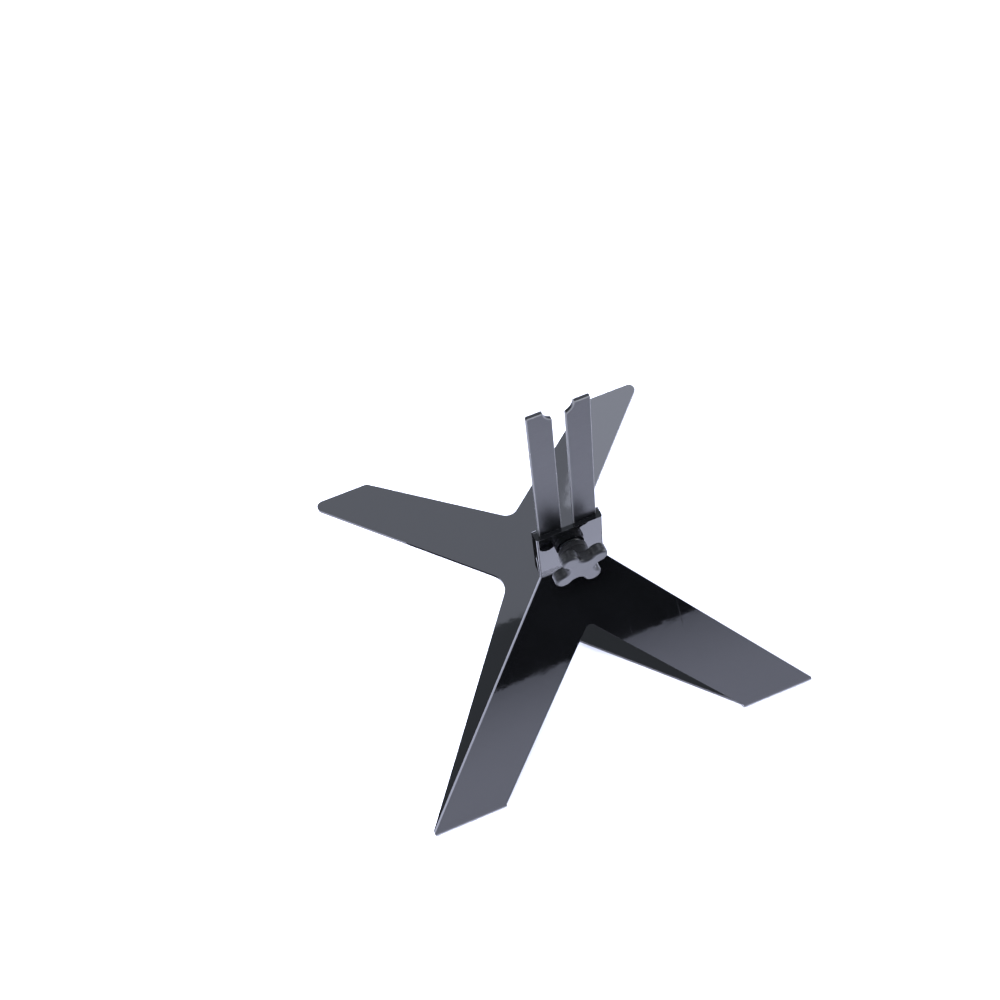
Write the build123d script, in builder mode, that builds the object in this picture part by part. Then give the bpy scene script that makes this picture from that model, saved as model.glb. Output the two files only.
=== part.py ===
from build123d import *

import math
import os

# One-sided bike repair stand: a folded steel base and a slotted upright clamped by a knob.
#
# Millimetres, +Z up. The origin is on the floor under the middle of the base. The feet's fold
# faces -Y, the wheel stands over the base behind the upright, and the bolt runs along Y.

# Driving dimensions, mm
SHEET = 3.0  # steel sheet of the folded stand and of the upright
BASE_WIDTH = 300.0
BASE_DEPTH = 302.0
FOOT_INNER = 94.5  # half the gap between the two front feet
REAR_OUTER = 148.5  # half width over the rear feet
REAR_INNER = 97.5  # half the gap between the two rear feet
WAIST_Y = 170.5  # depth of the base's side notches, from the front fold
WAIST_X = 24.4
FRONT_NOTCH_Y = 106.5  # sharp apex of the base's front notch
REAR_NOTCH_Y = 222.5  # sharp apex of the base's rear notch
INCLINE = 59.6  # the front plate's angle to the floor, degrees
FOLD_R = 4.5  # outside radius of the fold at the feet
PLATE_NOTCH = 121.0  # sharp apex of the front plate's notch, along the plate from the fold
NECK_FACE = 86.0  # the neck's front face, behind the fold
NECK_BEND_R = 4.0  # concave radius of the bend between front plate and neck
NECK_TOP = 201.0
BAR_WIDTH = 40.0
BAR_TOP = 334.0
BAR_BOTTOM = 104.0
BAR_GAP = 0.2  # powder-coat clearance between the bar, the neck and its flanges
FLANGE_BACK = 3.0  # how far the neck's flanges stand behind the bar
SLOT_WIDTH = 8.4
SLOT_BOTTOM = 128.0
CRADLE_R = 9.5
BOLT_Z = 177.0
BOLT_D = 8.0
BOLT_LENGTH = 20.0  # under the head
HEAD_D = 19.0
HEAD_T = 4.4
SQUARE = 8.0  # the bolt's square neck, which the slot keeps from turning
WASHER_D = 16.0
WASHER_T = 1.6
KNOB_TIP = 20.9  # centre of the knob to the tip of a lobe
KNOB_LOBE_R = 6.2
KNOB_VALLEY = 10.0  # centre of the knob to the bottom of a valley
KNOB_ANGLE = 30.0  # of the first lobe, at rest
KNOB_HUB_D = 20.0
KNOB_HUB_T = 9.0
KNOB_T = 8.0  # thickness of the lobed part
INSERT_D = 11.0
INSERT_T = 14.0

# Derived sizes
HALF = BASE_WIDTH / 2
SHIFT = -BASE_DEPTH / 2  # the fold's place in Y
COS = math.cos(math.radians(INCLINE))
SIN = math.sin(math.radians(INCLINE))
NECK_Y = SHIFT + NECK_FACE
NECK_BACK = NECK_Y + SHEET
BAR_Y = NECK_BACK + BAR_GAP
BAR_BACK = BAR_Y + SHEET
FLANGE_IN = BAR_WIDTH / 2 + BAR_GAP
NECK_HALF = FLANGE_IN + SHEET
FOLD_Y = SHIFT + FOLD_R  # centre of the fold, which is also FOLD_R above the floor
PLATE_Y = FOLD_Y - FOLD_R * SIN  # where the plate's front face leaves the fold
PLATE_Z = FOLD_R + FOLD_R * COS
PLATE_LENGTH = (NECK_Y - PLATE_Y) / COS  # to the sharp bend line at the neck
BEND_Z = PLATE_Z + PLATE_LENGTH * SIN
BEND_CUT = NECK_BEND_R * math.tan(math.radians(90 - INCLINE) / 2)
NECK_BOTTOM = BEND_Z + BEND_CUT
KNOB_BACK = NECK_Y - WASHER_T
KNOB_LOBES = KNOB_BACK - KNOB_HUB_T

os.makedirs("parts", exist_ok=True)


def facing_front(y, height=0):
    """A drawing plane across the stand, seen from the front: drawn x is X, drawn y is Z."""
    return Plane(origin=(0, y, height), x_dir=(1, 0, 0), z_dir=(0, -1, 0))


def sheet_bend(centre_y, centre_z, radius, first, last, x_from, x_to):
    """A bent strip of the sheet: a ring sector from first to last degrees, extruded along X."""
    across = Plane(origin=(x_from, 0, 0), x_dir=(0, 1, 0), z_dir=(1, 0, 0))
    with BuildPart() as bend:
        with BuildSketch(across) as sector:
            with BuildLine():
                outer = CenterArc((centre_y, centre_z), radius, first, last - first)
                inner = CenterArc((centre_y, centre_z), radius - SHEET, first, last - first)
                Line(outer @ 0, inner @ 0)
                Line(outer @ 1, inner @ 1)
            make_face()
        extrude(amount=x_to - x_from)
    return bend.part


# Folded stand: the cross-shaped base, the folded front plate and the neck, all one sheet
half_base = [
    (0, FRONT_NOTCH_Y),
    (FOOT_INNER, FOLD_R),
    (HALF, FOLD_R),
    (WAIST_X, WAIST_Y),
    (REAR_OUTER, BASE_DEPTH),
    (REAR_INNER, BASE_DEPTH),
    (0, REAR_NOTCH_Y),
]
other_half = [(-x, y) for x, y in reversed(half_base[1:-1])]
plate_outline = [
    (FOOT_INNER, 0),
    (HALF, 0),
    (NECK_HALF, PLATE_LENGTH - BEND_CUT),
    (-NECK_HALF, PLATE_LENGTH - BEND_CUT),
    (-HALF, 0),
    (-FOOT_INNER, 0),
    (0, PLATE_NOTCH),
]
left_fold = sheet_bend(FOLD_Y, FOLD_R, FOLD_R, 180 - (90 - INCLINE), 270, -HALF, -FOOT_INNER)
right_fold = sheet_bend(FOLD_Y, FOLD_R, FOLD_R, 180 - (90 - INCLINE), 270, FOOT_INNER, HALF)
neck_bend = sheet_bend(
    NECK_Y - NECK_BEND_R,
    NECK_BOTTOM,
    NECK_BEND_R + SHEET,
    INCLINE - 90,
    0,
    -NECK_HALF,
    NECK_HALF,
)
with BuildPart() as folded_stand:
    with BuildSketch(Plane((0, SHIFT, 0))) as base_outline:
        Polygon(*half_base, *other_half, align=None)
        for corner_y, radius in (
            (WAIST_Y, 15),
            (FRONT_NOTCH_Y, 6),
            (REAR_NOTCH_Y, 10),
            (BASE_DEPTH, 5),
        ):
            corners = base_outline.vertices().filter_by_position(Axis.Y, corner_y - 0.5, corner_y + 0.5)
            fillet(corners, radius)
    extrude(amount=SHEET)
    add(left_fold)
    add(right_fold)
    incline = Plane(origin=(0, PLATE_Y, PLATE_Z), x_dir=(1, 0, 0), z_dir=(0, -SIN, COS))
    with BuildSketch(incline) as front_plate:
        Polygon(*plate_outline, align=None)
        tops = front_plate.vertices()
        fillet(tops.filter_by_position(Axis.Y, PLATE_NOTCH - 1, PLATE_NOTCH + 1), 4)
    extrude(amount=-SHEET)
    add(neck_bend)
    with BuildSketch(facing_front(NECK_Y)) as neck:
        with Locations((0, (NECK_BOTTOM + NECK_TOP) / 2)):
            Rectangle(2 * NECK_HALF, NECK_TOP - NECK_BOTTOM)
        with Locations((0, BOLT_Z)):
            Circle(BOLT_D / 2 + 0.2, mode=Mode.SUBTRACT)
    extrude(amount=-SHEET)
    # The flanges fold back past the bar's edges, so that one bolt is enough to hold it upright.
    flange_depth = SHEET + BAR_GAP + FLANGE_BACK
    flange_height = NECK_TOP - NECK_BOTTOM
    for side in (-1, 1):
        centre = (
            side * (FLANGE_IN + SHEET / 2),
            NECK_BACK + flange_depth / 2,
            NECK_BOTTOM + flange_height / 2,
        )
        with Locations(centre):
            Box(SHEET, flange_depth, flange_height)
    top_corners = (
        folded_stand.edges()
        .filter_by(Axis.X)
        .filter_by_position(Axis.Z, NECK_TOP - 1, NECK_TOP + 1)
        .group_by(Axis.Y)[-1]
    )
    fillet(top_corners, 3)
    outer_edges = folded_stand.edges().filter_by(Axis.Z).filter_by_position(
        Axis.Y, NECK_Y - 0.1, NECK_Y + 0.1
    )
    fillet(outer_edges, 1.5)
folded_stand.part.label = "folded_stand"
export_step(folded_stand.part, "parts/folded_stand.step")

# Upright bar: a long adjusting slot that opens into a half-round cradle for the wheel's axle end
with BuildPart() as upright_bar:
    with BuildSketch(facing_front(BAR_Y)) as bar_face:
        with Locations((0, (BAR_BOTTOM + BAR_TOP) / 2)):
            Rectangle(BAR_WIDTH, BAR_TOP - BAR_BOTTOM)
        fillet(bar_face.vertices().group_by(Axis.Y)[0], 4)
        fillet(bar_face.vertices().group_by(Axis.Y)[-1], 1.2)
        with Locations((0, SLOT_BOTTOM + SLOT_WIDTH / 2)):
            Circle(SLOT_WIDTH / 2, mode=Mode.SUBTRACT)
        with Locations((0, (SLOT_BOTTOM + SLOT_WIDTH / 2 + BAR_TOP) / 2)):
            Rectangle(SLOT_WIDTH, BAR_TOP - SLOT_BOTTOM - SLOT_WIDTH / 2, mode=Mode.SUBTRACT)
        with Locations((0, BAR_TOP)):
            Circle(CRADLE_R, mode=Mode.SUBTRACT)
    extrude(amount=-SHEET)
upright_bar.part.label = "upright_bar"
export_step(upright_bar.part, "parts/upright_bar.step")

# Carriage bolt: domed head behind the bar, square neck in the slot, shank through the neck
with BuildPart() as carriage_bolt:
    dome_r = (HEAD_D**2 / 4 + HEAD_T**2) / (2 * HEAD_T)
    with BuildSketch(Plane((0, 0, BOLT_Z))):
        with BuildLine():
            rim = (HEAD_D / 2, BAR_BACK)
            crown = (0, BAR_BACK + HEAD_T)
            RadiusArc(rim, crown, -dome_r)
            Polyline(crown, (0, BAR_BACK), rim)
        make_face()
    revolve(axis=Axis((0, 0, BOLT_Z), (0, 1, 0)))
    with BuildSketch(facing_front(BAR_BACK, BOLT_Z)):
        Rectangle(SQUARE, SQUARE)
    extrude(amount=SHEET)
    with BuildSketch(facing_front(BAR_BACK, BOLT_Z)):
        Circle(BOLT_D / 2)
    extrude(amount=BOLT_LENGTH)
    tip = carriage_bolt.faces().sort_by(Axis.Y)[0]
    chamfer(tip.edges(), 0.8)
carriage_bolt.part.label = "carriage_bolt"
export_step(carriage_bolt.part, "parts/carriage_bolt.step")

# Flat washer between the knob and the neck
with BuildPart() as flat_washer:
    with BuildSketch(facing_front(NECK_Y, BOLT_Z)):
        Circle(WASHER_D / 2)
        Circle(BOLT_D / 2 + 0.2, mode=Mode.SUBTRACT)
    extrude(amount=WASHER_T)
    washer_rims = flat_washer.edges().filter_by(GeomType.CIRCLE).group_by(SortBy.RADIUS)[-1]
    chamfer(washer_rims, 0.3)
flat_washer.part.label = "flat_washer"
export_step(flat_washer.part, "parts/flat_washer.step")

# Knob: a four-lobed star on a round hub, moulded over a threaded insert
lobe_centre = KNOB_TIP - KNOB_LOBE_R
lobe_reach = lobe_centre * math.cos(math.radians(45))
valley_r = (KNOB_VALLEY**2 + lobe_centre**2 - 2 * KNOB_VALLEY * lobe_reach - KNOB_LOBE_R**2) / (
    2 * (KNOB_LOBE_R - KNOB_VALLEY + lobe_reach)
)
valley_centre = KNOB_VALLEY + valley_r
star_corners = []
for quarter in range(4):
    lobe_angle = math.radians(KNOB_ANGLE + 90 * quarter)
    valley_angle = lobe_angle + math.radians(45)
    star_corners.append((lobe_centre * math.cos(lobe_angle), lobe_centre * math.sin(lobe_angle)))
    star_corners.append((valley_centre * math.cos(valley_angle), valley_centre * math.sin(valley_angle)))
with BuildPart() as knob_body:
    # The lobes' and the valleys' arcs meet on the lines between their centres, so they are tangent.
    with BuildSketch(facing_front(KNOB_LOBES, BOLT_Z)):
        Polygon(*star_corners, align=None)
        with PolarLocations(valley_centre, 4, start_angle=KNOB_ANGLE + 45):
            Circle(valley_r, mode=Mode.SUBTRACT)
        with PolarLocations(lobe_centre, 4, start_angle=KNOB_ANGLE):
            Circle(KNOB_LOBE_R)
    extrude(amount=KNOB_T)
    fillet(knob_body.faces().sort_by(Axis.Y)[0].edges(), 2.2)
    fillet(knob_body.faces().sort_by(Axis.Y)[-1].edges(), 1.5)
    with BuildSketch(facing_front(KNOB_BACK, BOLT_Z)):
        Circle(KNOB_HUB_D / 2)
    extrude(amount=KNOB_HUB_T + 1)
    with BuildSketch(facing_front(KNOB_BACK, BOLT_Z)):
        Circle(INSERT_D / 2)
    extrude(amount=INSERT_T, mode=Mode.SUBTRACT)
knob_body.part.label = "knob_body"
export_step(knob_body.part, "parts/knob_body.step")

# Threaded insert in the knob, with the thread's fit given by a plain running bore
with BuildPart() as knob_insert:
    with BuildSketch(facing_front(KNOB_BACK, BOLT_Z)):
        Circle(INSERT_D / 2)
        Circle(BOLT_D / 2 + 0.05, mode=Mode.SUBTRACT)
    extrude(amount=INSERT_T)
knob_insert.part.label = "knob_insert"
export_step(knob_insert.part, "parts/knob_insert.step")
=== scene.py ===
# %% [markdown]
# # A one-sided bike stand
#
# The stand is a folded sheet of black steel that lies on the floor under the rear wheel, and a
# slotted upright bar, clamped to it with one knob, that holds up the near end of the wheel's
# axle. This lesson gives each of its six pieces its finish, and five of them the small rounded
# edges that make painted steel, plated steel and moulded plastic look real.
#
# The engineering model comes first. It is loaded as a fixed frame, and nothing in it is moved.

# %% Load the frame
import math

import bmesh
import bpy
from mathutils import Matrix, Vector


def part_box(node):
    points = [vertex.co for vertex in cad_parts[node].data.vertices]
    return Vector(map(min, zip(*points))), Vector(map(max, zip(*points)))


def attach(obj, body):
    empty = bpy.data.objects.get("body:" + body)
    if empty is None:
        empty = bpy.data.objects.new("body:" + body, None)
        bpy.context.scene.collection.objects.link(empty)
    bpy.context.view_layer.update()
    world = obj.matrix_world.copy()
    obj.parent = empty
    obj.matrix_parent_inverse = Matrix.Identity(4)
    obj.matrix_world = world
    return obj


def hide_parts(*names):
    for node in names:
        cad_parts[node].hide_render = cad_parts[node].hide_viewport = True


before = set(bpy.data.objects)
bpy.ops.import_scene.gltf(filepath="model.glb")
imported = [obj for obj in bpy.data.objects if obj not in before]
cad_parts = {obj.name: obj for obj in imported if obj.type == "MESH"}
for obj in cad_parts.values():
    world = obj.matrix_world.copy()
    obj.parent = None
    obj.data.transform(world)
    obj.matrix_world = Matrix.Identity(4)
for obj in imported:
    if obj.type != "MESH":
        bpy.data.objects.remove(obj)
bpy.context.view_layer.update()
print("nodes:", sorted(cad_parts))

# %% [markdown]
# ## The camera
#
# The camera looks steeply down on the stand from the front left, close enough for the near feet
# to look larger than the far ones. A camera looks along its own -Z, so a first turn of 31 degrees
# about X leaves it looking down at 59 degrees. The other two turns swing it to the left of the
# stand and tilt the picture a little.

# %% Place the camera
camera = bpy.data.objects.new("camera", bpy.data.cameras.new("camera"))
bpy.context.scene.collection.objects.link(camera)
bpy.context.scene.camera = camera
CAMERA_PLACE = (-0.1585, -0.5129, 1.028)
CAMERA_TURNS = (31.006, 4.549, -21.991)
LENS = 53.2
camera.data.lens = LENS
camera.location = CAMERA_PLACE
camera.rotation_euler = [math.radians(turn) for turn in CAMERA_TURNS]
print("camera at", CAMERA_PLACE, "lens", LENS)

# %% [markdown]
# ## The floor and the light
#
# Black gloss paint has almost no colour of its own. It shows what it mirrors, so the room matters
# as much as the paint. A pale floor lies under the stand, and a soft lamp hangs above and in
# front. That lamp isn't mirrored, because from above its white square would look like a hole in
# the base.
#
# A black board stands on the floor in front of the stand, behind the camera. The lower half of
# the sloping plate mirrors the bright floor, the upper half mirrors the board, and the line
# between the two is what shows how glossy the paint is. A second, small board lies on the floor
# behind the neck as a painted shadow: it stands in for the shade under the wheel, and keeps the
# neck's side dark where it mirrors the floor.

# %% Lay the floor
FLOOR_SIZE = 14.0
floor_mesh = bmesh.new()
bmesh.ops.create_grid(floor_mesh, x_segments=2, y_segments=2, size=FLOOR_SIZE / 2)
floor = bpy.data.objects.new("floor", bpy.data.meshes.new("floor"))
floor_mesh.to_mesh(floor.data)
floor_mesh.free()
bpy.context.scene.collection.objects.link(floor)
print("floor", FLOOR_SIZE, "m square")

# %% Stand a black board in front, and lay a small one behind
def black_board(name, place, width, height, turn):
    """A flat board that only reflections show: it casts no shadow and the camera can't see it."""
    sheet_mesh = bmesh.new()
    bmesh.ops.create_grid(sheet_mesh, x_segments=1, y_segments=1, size=0.5)
    made = bpy.data.objects.new(name, bpy.data.meshes.new(name))
    sheet_mesh.to_mesh(made.data)
    sheet_mesh.free()
    bpy.context.scene.collection.objects.link(made)
    made.scale = (width, height, 1)
    made.location = place
    made.rotation_euler = (math.radians(turn), 0, 0)
    made.visible_camera = False
    made.visible_shadow = False
    made.visible_diffuse = False
    print(name, "at y", place[1])
    return made


front_board = black_board("front_board", (0.15, -1.02, 0.25), 2.4, 0.5, 90)
# painted shadow: a black sheet that the neck's side mirrors in place of the shaded floor under the
# wheel
painted_shadow_board = black_board("painted_shadow_board", (-0.066, 0.03, 0.0006), 0.07, 0.11, 0)

# %% Hang the lamps
def soft_lamp(name, place, aim, size, power, depth=None, tint=(0.90, 0.93, 1.0)):
    """A square or oblong area lamp at a place, turned to face a point."""
    lamp = bpy.data.objects.new(name, bpy.data.lights.new(name, "AREA"))
    lamp.data.shape = "RECTANGLE"
    lamp.data.size = size
    lamp.data.size_y = depth or size
    lamp.data.energy = power
    lamp.data.color = tint
    lamp.location = place
    lamp.rotation_euler = (Vector(aim) - Vector(place)).to_track_quat("-Z", "Y").to_euler()
    bpy.context.scene.collection.objects.link(lamp)
    print(name, "size", size, "power", power)
    return lamp


overhead_lamp = soft_lamp("overhead_lamp", (-0.2, -0.32, 1.15), (-0.1, -0.15, 0.0), 0.6, 45)
overhead_lamp.visible_glossy = False
soft_lamp("left_lamp", (-1.7, 0.3, 1.3), (0.0, 0.0, 0.1), 0.9, 6)
soft_lamp("right_lamp", (1.6, -0.35, 0.55), (0.0, -0.1, 0.1), 0.8, 14)
soft_lamp("back_panel", (0.35, 1.57, 2.0), (0.35, 0.6, 0.0), 2.0, 15, 1.1, (0.80, 0.84, 1.0))
soft_lamp("back_window", (1.05, 1.32, 1.95), (0.1, 0.1, 0.0), 0.9, 8, 0.9, (0.80, 0.84, 1.0))

# %% Fill the room with a dim even light
world = bpy.data.worlds.new("room")
world.use_nodes = True
room = world.node_tree.nodes["Background"]
room.inputs["Color"].default_value = (0.8, 0.88, 1.0, 1)
room.inputs["Strength"].default_value = 0.6
bpy.context.scene.world = world
bpy.context.scene.view_settings.view_transform = "Standard"
print("room light", room.inputs["Strength"].default_value)

# %% [markdown]
# ## Writing a shader as sums
#
# A finish is a network of small nodes, and most of them are plain arithmetic. The class below
# wraps one output socket, so that an expression such as `1 - wear * 0.5` adds the nodes it needs.
# One method adds any other kind of node.

# %% A socket that does sums
class Shade:
    """One output socket of a material, which can be added to, subtracted from and multiplied."""

    def __init__(self, tree, socket):
        self.tree = tree
        self.socket = socket

    def node(self, kind, settings=None, **values):
        """Adds a node of any kind and returns its first output in use."""
        made = self.tree.nodes.new(kind)
        for name, value in (settings or {}).items():
            setattr(made, name, value)
        for name, value in values.items():
            wanted = name.replace("_", " ")
            inputs = [s for s in made.inputs if s.name == wanted and s.enabled]
            if isinstance(value, Shade):
                self.tree.links.new(value.socket, inputs[0])
            else:
                inputs[0].default_value = value
        return Shade(self.tree, next(s for s in made.outputs if s.enabled))

    def sum_with(self, operation, first, second):
        """A Math node on two values, either of which may be a number."""
        made = self.tree.nodes.new("ShaderNodeMath")
        made.operation = operation
        for socket, value in zip(made.inputs, (first, second)):
            if isinstance(value, Shade):
                self.tree.links.new(value.socket, socket)
            else:
                socket.default_value = value
        return Shade(self.tree, made.outputs[0])

    def __add__(self, other):
        return self.sum_with("ADD", self, other)

    def __radd__(self, other):
        return self.sum_with("ADD", other, self)

    def __sub__(self, other):
        return self.sum_with("SUBTRACT", self, other)

    def __rsub__(self, other):
        return self.sum_with("SUBTRACT", other, self)

    def __mul__(self, other):
        return self.sum_with("MULTIPLY", self, other)

    def __rmul__(self, other):
        return self.sum_with("MULTIPLY", other, self)

    def fade(self, low, high):
        """0 where this value is at low or under, 1 at high or over, and smooth between."""
        return self.node(
            "ShaderNodeMapRange",
            {"interpolation_type": "SMOOTHSTEP"},
            Value=self,
            From_Min=low,
            From_Max=high,
        )

    def blend(self, first, second):
        """Colour first where this mask is 0 and colour second where it is 1."""
        made = self.tree.nodes.new("ShaderNodeMix")
        made.data_type = "RGBA"
        self.tree.links.new(self.socket, made.inputs[0])
        for socket, value in zip((made.inputs[6], made.inputs[7]), (first, second)):
            if isinstance(value, Shade):
                self.tree.links.new(value.socket, socket)
            else:
                socket.default_value = (*value, 1)
        return Shade(self.tree, made.outputs[2])


print("Shade ready")


# %% A helper that starts a finish
def new_finish(name):
    """An empty material: its shader node, and its Object coordinates as a Shade."""
    finish = bpy.data.materials.new(name)
    finish.use_nodes = True
    tree = finish.node_tree
    shader = tree.nodes["Principled BSDF"]
    coordinates = tree.nodes.new("ShaderNodeTexCoord")
    return finish, shader, Shade(tree, coordinates.outputs["Object"])


def feed(shader, **values):
    """Links values that vary to the shader's inputs, and sets the steady ones."""
    for name, value in values.items():
        socket = shader.inputs[name.replace("_", " ")]
        if isinstance(value, Shade):
            value.tree.links.new(value.socket, socket)
        else:
            socket.default_value = value


print("finishes can be started")

# %% [markdown]
# ## Black powder coat
#
# Powder coat is baked on as a dust of plastic. It flows into a skin that is never quite flat: it
# keeps a fine ripple, like the peel of an orange, on top of a slower waviness. Both are bumps
# here, from a few thousandths to five hundredths of a millimetre high. The sheet is glossy, and
# the bar has a satin coat. The rounded cut edges are painted a lighter grey, a painted highlight
# that stands in for the thin bright lines they catch. The steel shows only where an edge has been
# knocked, so the pieces mark their edges with an attribute, and a noise breaks that mark up into
# small chips.

# %% Mix the powder coat
def powder_coat(name, gloss, shine, ripple_height, wave_height):
    """Black powder coat: its roughness, how strongly it mirrors, and two ripples in metres."""
    finish, shader, place = new_finish(name)
    cloudy = place.node("ShaderNodeTexNoise", Vector=place, Scale=35.0, Detail=3.0)
    ripple = place.node("ShaderNodeTexNoise", Vector=place, Scale=520.0, Detail=1.5)
    wave = place.node("ShaderNodeTexNoise", Vector=place, Scale=95.0, Detail=1.0)
    edge = place.node("ShaderNodeAttribute", {"attribute_name": "edge"})
    chip_noise = place.node("ShaderNodeTexNoise", Vector=place, Scale=160.0, Detail=4.0)
    chipped = edge * chip_noise.fade(0.66, 0.72)
    drawn = place.node("ShaderNodeMapping", Vector=place, Scale=(900.0, 16.0, 16.0))
    hairline = drawn.node("ShaderNodeTexNoise", Vector=drawn, Scale=1.0, Detail=2.0)
    scratch = hairline.fade(0.70, 0.74)
    paint = cloudy.blend((0.0012, 0.0013, 0.0015), (0.0022, 0.0023, 0.0027))
    # painted highlight: the rounded edges are coloured a lighter grey to stand in for the bright
    # lines they catch
    paint_and_painted_edge_highlight = (edge * 0.6).blend(paint, (0.10, 0.10, 0.105))
    colour = chipped.blend(paint_and_painted_edge_highlight, (0.36, 0.36, 0.37))
    roughness = gloss + cloudy * 0.03 + scratch * 0.05 + chipped * 0.2
    height = ripple * ripple_height + wave * wave_height - chipped * 0.00004
    bump = place.node("ShaderNodeBump", Height=height, Strength=1.0, Distance=1.0)
    feed(shader, Base_Color=colour, Roughness=roughness, Metallic=chipped, Normal=bump)
    feed(shader, IOR=1.5, Specular_IOR_Level=shine)
    print(name, "gloss", gloss, "waves in micrometres", ripple_height * 1e6, wave_height * 1e6)
    return finish


gloss_coat = powder_coat("black_gloss_powder_coat", 0.015, 0.5, 0.0000022, 0.000016)
satin_coat = powder_coat("black_satin_powder_coat", 0.30, 0.34, 0.000022, 0.000050)

# %% [markdown]
# ## Plated steel, brass and moulded plastic
#
# The bolt and the washer are zinc plated: pale grey, a little blue, with soft stains. The knob is
# moulded in black plastic. Its front is smooth, its sides keep the fine stipple of a blasted
# tool, and a hairline ridge runs round the middle where the tool's two halves met. The brass
# insert inside it is turned, so it carries fine rings.

# %% Plate the zinc
def zinc_plate(name):
    """Bright zinc plating with soft stains and a fine grain."""
    finish, shader, place = new_finish(name)
    stain = place.node("ShaderNodeTexNoise", Vector=place, Scale=120.0, Detail=4.0)
    grain = place.node("ShaderNodeTexNoise", Vector=place, Scale=1400.0, Detail=2.0)
    colour = stain.fade(0.35, 0.7).blend((0.60, 0.62, 0.66), (0.70, 0.69, 0.64))
    roughness = 0.22 + stain * 0.2
    bump = place.node("ShaderNodeBump", Height=grain * 0.000008, Strength=1.0, Distance=1.0)
    feed(shader, Base_Color=colour, Roughness=roughness, Normal=bump, Metallic=1.0)
    return finish


zinc = zinc_plate("zinc_plate")
print("zinc ready")


# %% Mould the plastic
def moulded_plastic(name, seam_depth, groove_depth):
    """Black plastic: smooth front, stippled sides with painted shade in their pits, and a ridge
    and a groove at two depths in Y.
    """
    finish, shader, place = new_finish(name)
    facing = place.socket.node.outputs["Normal"]
    normal = place.node("ShaderNodeSeparateXYZ", Vector=Shade(place.tree, facing))
    towards_back = Shade(place.tree, normal.socket.node.outputs["Y"])
    side = towards_back.fade(-0.92, -0.62)
    parts = place.node("ShaderNodeSeparateXYZ", Vector=place)
    along = Shade(place.tree, parts.socket.node.outputs["Y"])
    off_seam = place.sum_with("ABSOLUTE", along - seam_depth, 0.0)
    ridge = 1 - off_seam.fade(0.00010, 0.00030)
    stipple = place.node("ShaderNodeTexNoise", Vector=place, Scale=1250.0, Detail=2.0)
    handled = place.node("ShaderNodeTexNoise", Vector=place, Scale=90.0, Detail=3.0)
    stipple_pits_and_pit_shade = stipple.fade(0.42, 0.60)
    skin = handled.blend((0.0030, 0.0030, 0.0034), (0.0060, 0.0060, 0.0066))
    # painted shade: on the knob's sides the pits of the stipple are coloured darker, as shade in
    # their hollows
    colour = (side * stipple_pits_and_pit_shade * 0.5).blend(skin, (0.0010, 0.0010, 0.0012))
    roughness = 0.26 + handled * 0.10 + side * stipple_pits_and_pit_shade * 0.12
    off_groove = place.sum_with("ABSOLUTE", along - groove_depth, 0.0)
    groove = 1 - off_groove.fade(0.0003, 0.0007)
    height = stipple * 0.00002 + side * stipple * 0.00007 + ridge * 0.00010 - groove * 0.0004
    bump = place.node("ShaderNodeBump", Height=height, Strength=1.0, Distance=1.0)
    feed(shader, Base_Color=colour, Roughness=roughness, Normal=bump)
    feed(shader, IOR=1.5, Specular_IOR_Level=0.44)
    return finish


HUB_LENGTH = 0.009
GROOVE_FROM_BACK = 0.0035
knob_low, knob_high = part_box("knob_body")
seam = (knob_low.y + knob_high.y - HUB_LENGTH) / 2
hub_groove = knob_high.y - GROOVE_FROM_BACK
plastic = moulded_plastic("black_moulded_plastic", seam, hub_groove)
print("plastic ready, seam at y in mm", round(seam * 1000, 1))


# %% Turn the brass
def turned_brass(name, axis_height):
    """Brass with fine rings round the bolt's axis, which runs along Y at a height."""
    finish, shader, place = new_finish(name)
    centred = place.node("ShaderNodeMapping", Vector=place, Location=(0, 0, -axis_height))
    flat = centred.node(
        "ShaderNodeVectorMath", {"operation": "MULTIPLY"}, Vector=centred
    )
    flat.socket.node.inputs[1].default_value = (1, 0, 1)
    radius = flat.node("ShaderNodeVectorMath", {"operation": "LENGTH"}, Vector=flat)
    rings = place.sum_with("SINE", radius * 21000.0, 0.0)
    tarnish = place.node("ShaderNodeTexNoise", Vector=place, Scale=200.0, Detail=4.0)
    colour = tarnish.blend((0.80, 0.58, 0.26), (0.60, 0.40, 0.17))
    roughness = 0.24 + tarnish * 0.2
    bump = place.node("ShaderNodeBump", Height=rings * 0.000006, Strength=1.0, Distance=1.0)
    feed(shader, Base_Color=colour, Roughness=roughness, Normal=bump, Metallic=1.0)
    return finish


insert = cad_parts["knob_insert"]
insert_low, insert_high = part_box("knob_insert")
axis_height = (insert_low.z + insert_high.z) / 2
brass = turned_brass("turned_brass", axis_height)
insert.data.materials.clear()
insert.data.materials.append(brass)
print("brass ready, bolt axis at z in mm", round(axis_height * 1000, 1))

# %% [markdown]
# ## Paint the floor and the boards
#
# The floor is pale paper. A faint grain keeps it from looking blank. The boards are black felt,
# which gives back almost nothing; the small one is a painted shadow.

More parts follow.
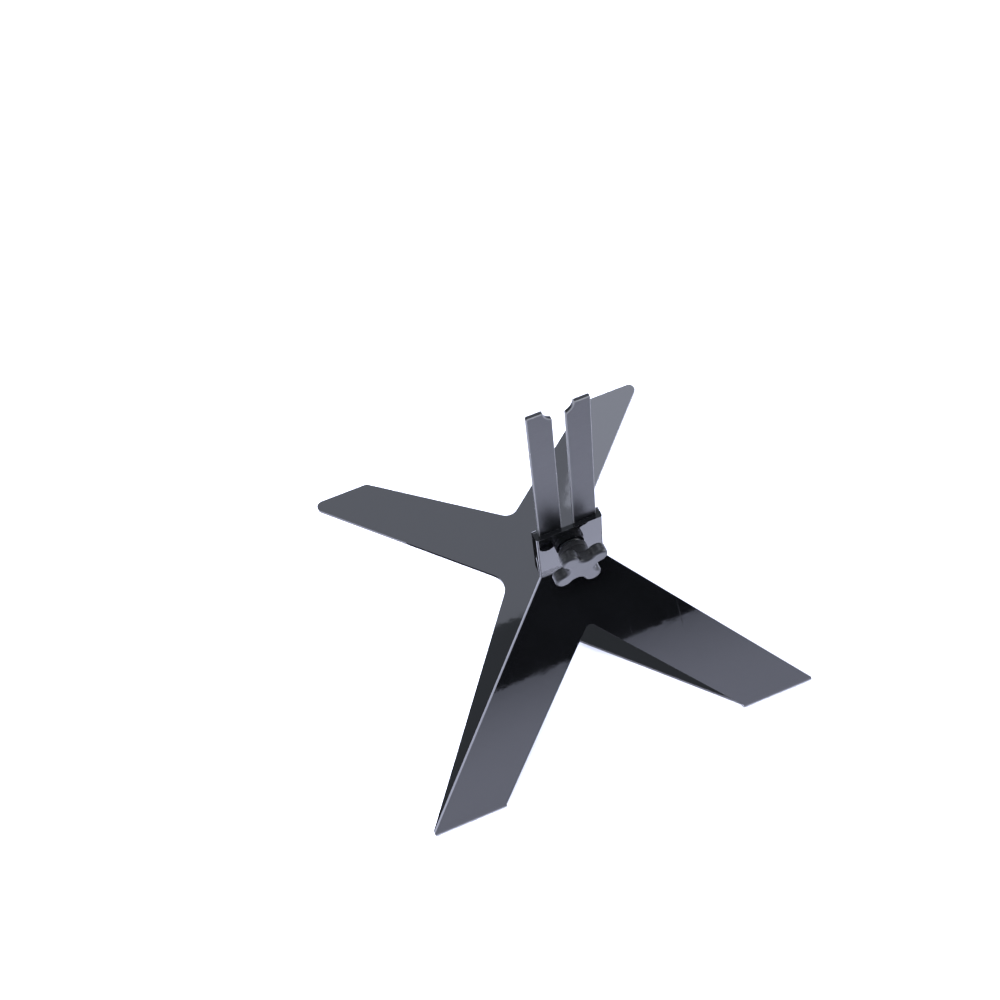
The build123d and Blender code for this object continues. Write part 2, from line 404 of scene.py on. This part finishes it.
# %% Paint them
paper, paper_shader, paper_place = new_finish("floor_paper")
paper_grain = paper_place.node("ShaderNodeTexNoise", Vector=paper_place, Scale=6.0, Detail=3.0)
feed(
    paper_shader,
    Base_Color=paper_grain.blend((0.74, 0.74, 0.86), (0.77, 0.77, 0.89)),
    Roughness=0.9,
)
floor.data.materials.append(paper)
felt, felt_shader, felt_place = new_finish("black_felt")
felt_fuzz = felt_place.node("ShaderNodeTexNoise", Vector=felt_place, Scale=60.0, Detail=3.0)
feed(
    felt_shader,
    Base_Color=felt_fuzz.blend((0.003, 0.003, 0.003), (0.006, 0.006, 0.006)),
    Roughness=1.0,
    Specular_IOR_Level=0.0,
)
front_board.data.materials.append(felt)
painted_shadow_board.data.materials.append(felt)
print("floor and boards painted")

# %% [markdown]
# ## Edges that catch the light
#
# No real edge is perfectly sharp. Paint pulls back from a cut edge and cures to a small round,
# and that round is where a black object shows its thin bright lines. The engineering model's
# edges are sharp, so each piece starts as a copy of its node: the loose triangles are merged,
# flat neighbours are joined into whole faces, and every sharp edge is bevelled.

# %% A copy with rounded edges
def finished_piece(name, mesh, material, body, node):
    """Makes an object of a bmesh, gives it its finish, and lets it stand for a CAD node."""
    piece = bpy.data.objects.new(name, bpy.data.meshes.new(name))
    for face in mesh.faces:
        face.smooth = True
    mesh.to_mesh(piece.data)
    mesh.free()
    piece.data.materials.append(material)
    bpy.context.scene.collection.objects.link(piece)
    even = piece.modifiers.new("even_shading", "WEIGHTED_NORMAL")
    even.keep_sharp = True
    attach(piece, body)
    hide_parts(node)
    print(name, "faces", len(piece.data.polygons))
    return piece


SAME_POINT = 0.000002
FLAT_ANGLE = math.radians(0.6)
SHARP_ANGLE = math.radians(40)


def rounded_copy(node, radius):
    """A merged copy of a node's mesh with its sharp edges rounded and marked."""
    mesh = bmesh.new()
    mesh.from_mesh(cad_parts[node].data)
    bmesh.ops.remove_doubles(mesh, verts=mesh.verts, dist=SAME_POINT)
    bmesh.ops.dissolve_limit(mesh, angle_limit=FLAT_ANGLE, verts=mesh.verts, edges=mesh.edges)
    sharp = [
        edge for edge in mesh.edges if edge.is_manifold and edge.calc_face_angle() > SHARP_ANGLE
    ]
    rounds = bmesh.ops.bevel(
        mesh,
        geom=sharp,
        offset=radius,
        segments=2,
        profile=0.5,
        affect="EDGES",
        material=-1,
        clamp_overlap=True,
    )
    mark = mesh.loops.layers.float_color.new("edge")
    rounded = set(rounds["faces"])
    for face in mesh.faces:
        level = 1.0 if face in rounded else 0.0
        for corner in face.loops:
            corner[mark] = (level, level, level, 1)
    print(node, "sharp edges rounded:", len(sharp), "at mm", radius * 1000)
    return mesh


# %% [markdown]
# ## The folded sheet and the bar
#
# The base, the sloping plate, the neck and its flanges are one piece of 3 mm sheet, cut by laser
# and folded. The bar is a flat strip of the same thickness.

# %% Round and paint them
sheet = finished_piece(
    "folded_sheet", rounded_copy("folded_stand", 0.0007), gloss_coat, "stand", "folded_stand"
)
bar = finished_piece(
    "slotted_bar", rounded_copy("upright_bar", 0.0006), satin_coat, "upright", "upright_bar"
)

# %% [markdown]
# ## The knob
#
# The knob's four lobes are already round in the model, so only its edges need to be softened.

# %% Finish the knob
knob = finished_piece(
    "clamp_knob", rounded_copy("knob_body", 0.0003), plastic, "knob", "knob_body"
)

# %% [markdown]
# ## The bolt and the washer
#
# Behind the bar is the bolt's smooth dome, with its rim rounded by the die that forged it. In
# front of the neck the shank carries an M8 thread. The plain shank is cut off there and closed,
# and a cylinder that is divided into short rings takes its place. Each of the cylinder's points
# moves inwards by its angle and its place along the bolt, so that the groove climbs in a
# right-handed helix. Moving points is simpler here than sweeping a tooth, and it leaves the mesh
# closed. The tip is chamfered, as a real bolt's is. The cut leaves its faces in an order that
# changes from run to run, so they are sorted and the mesh is read back afresh before it is closed.

# %% Cut the thread
PITCH = 0.00125
GROOVE = 0.00075
CREST_SLOPE = 1.25
TIP_CHAMFER = 0.0002
RINGS_A_PITCH = 8
BOLT_RADIUS = 0.004
UNDER_THE_WASHER = 0.0015
CLEAR_OF_CUT = 0.00001
MANY_POINTS = 100000


def point_order(face):
    """A number made of a face's three lowest point numbers, which is the same on every run."""
    first, second, third = sorted(point.index for point in face.verts)[:3]
    return (first * MANY_POINTS + second) * MANY_POINTS + third


bolt_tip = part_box("carriage_bolt")[0].y
thread_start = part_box("flat_washer")[1].y + UNDER_THE_WASHER
thread_length = thread_start - bolt_tip
bolt_mesh = rounded_copy("carriage_bolt", 0.0003)
everything = bolt_mesh.verts[:] + bolt_mesh.edges[:] + bolt_mesh.faces[:]
bmesh.ops.bisect_plane(
    bolt_mesh,
    geom=everything,
    plane_co=(0, thread_start, 0),
    plane_no=(0, -1, 0),
    clear_outer=True,
)
bolt_mesh.verts.index_update()
bolt_mesh.faces.sort(key=point_order)
cut_bolt = bpy.data.meshes.new("cut_bolt")
bolt_mesh.to_mesh(cut_bolt)
bolt_mesh.clear()
bolt_mesh.from_mesh(cut_bolt)
bpy.data.meshes.remove(cut_bolt)
open_rim = [edge for edge in bolt_mesh.edges if edge.is_boundary]
bmesh.ops.holes_fill(bolt_mesh, edges=open_rim)
middle = Vector((0, bolt_tip + thread_length / 2, axis_height))
blank = bmesh.ops.create_cone(
    bolt_mesh,
    cap_ends=True,
    segments=32,
    radius1=BOLT_RADIUS,
    radius2=BOLT_RADIUS,
    depth=thread_length,
    matrix=Matrix.Translation(middle) @ Matrix.Rotation(math.radians(90), 4, "X"),
)
blank_points = set(blank["verts"])
long_edges = [
    edge
    for edge in bolt_mesh.edges
    if edge.verts[0] in blank_points and abs(edge.verts[0].co.y - edge.verts[1].co.y) > PITCH
]
rings = round(thread_length / PITCH * RINGS_A_PITCH)
bmesh.ops.subdivide_edges(bolt_mesh, edges=long_edges, cuts=rings, use_grid_fill=True)
thread_points = [point for point in bolt_mesh.verts if point.co.y < thread_start - CLEAR_OF_CUT]
for point in thread_points:
    across = Vector((point.co.x, 0, point.co.z - axis_height))
    angle = math.atan2(across.z, across.x)
    turn = (point.co.y / PITCH + angle / math.tau) % 1
    crest = min(1, CREST_SLOPE * abs(2 * turn - 1))
    chamfer = BOLT_RADIUS - GROOVE - TIP_CHAMFER + (point.co.y - bolt_tip)
    radius = min(BOLT_RADIUS - GROOVE * (1 - crest), chamfer)
    point.co = Vector((0, point.co.y, axis_height)) + across.normalized() * radius
print("thread points moved:", len(thread_points), "rings", rings)

# %% [markdown]
# The washer is stamped, so its rims are softened too.

# %% Finish the bolt and the washer
bolt = finished_piece("coach_bolt", bolt_mesh, zinc, "stand", "carriage_bolt")
washer = finished_piece(
    "plain_washer", rounded_copy("flat_washer", 0.00015), zinc, "washer", "flat_washer"
)
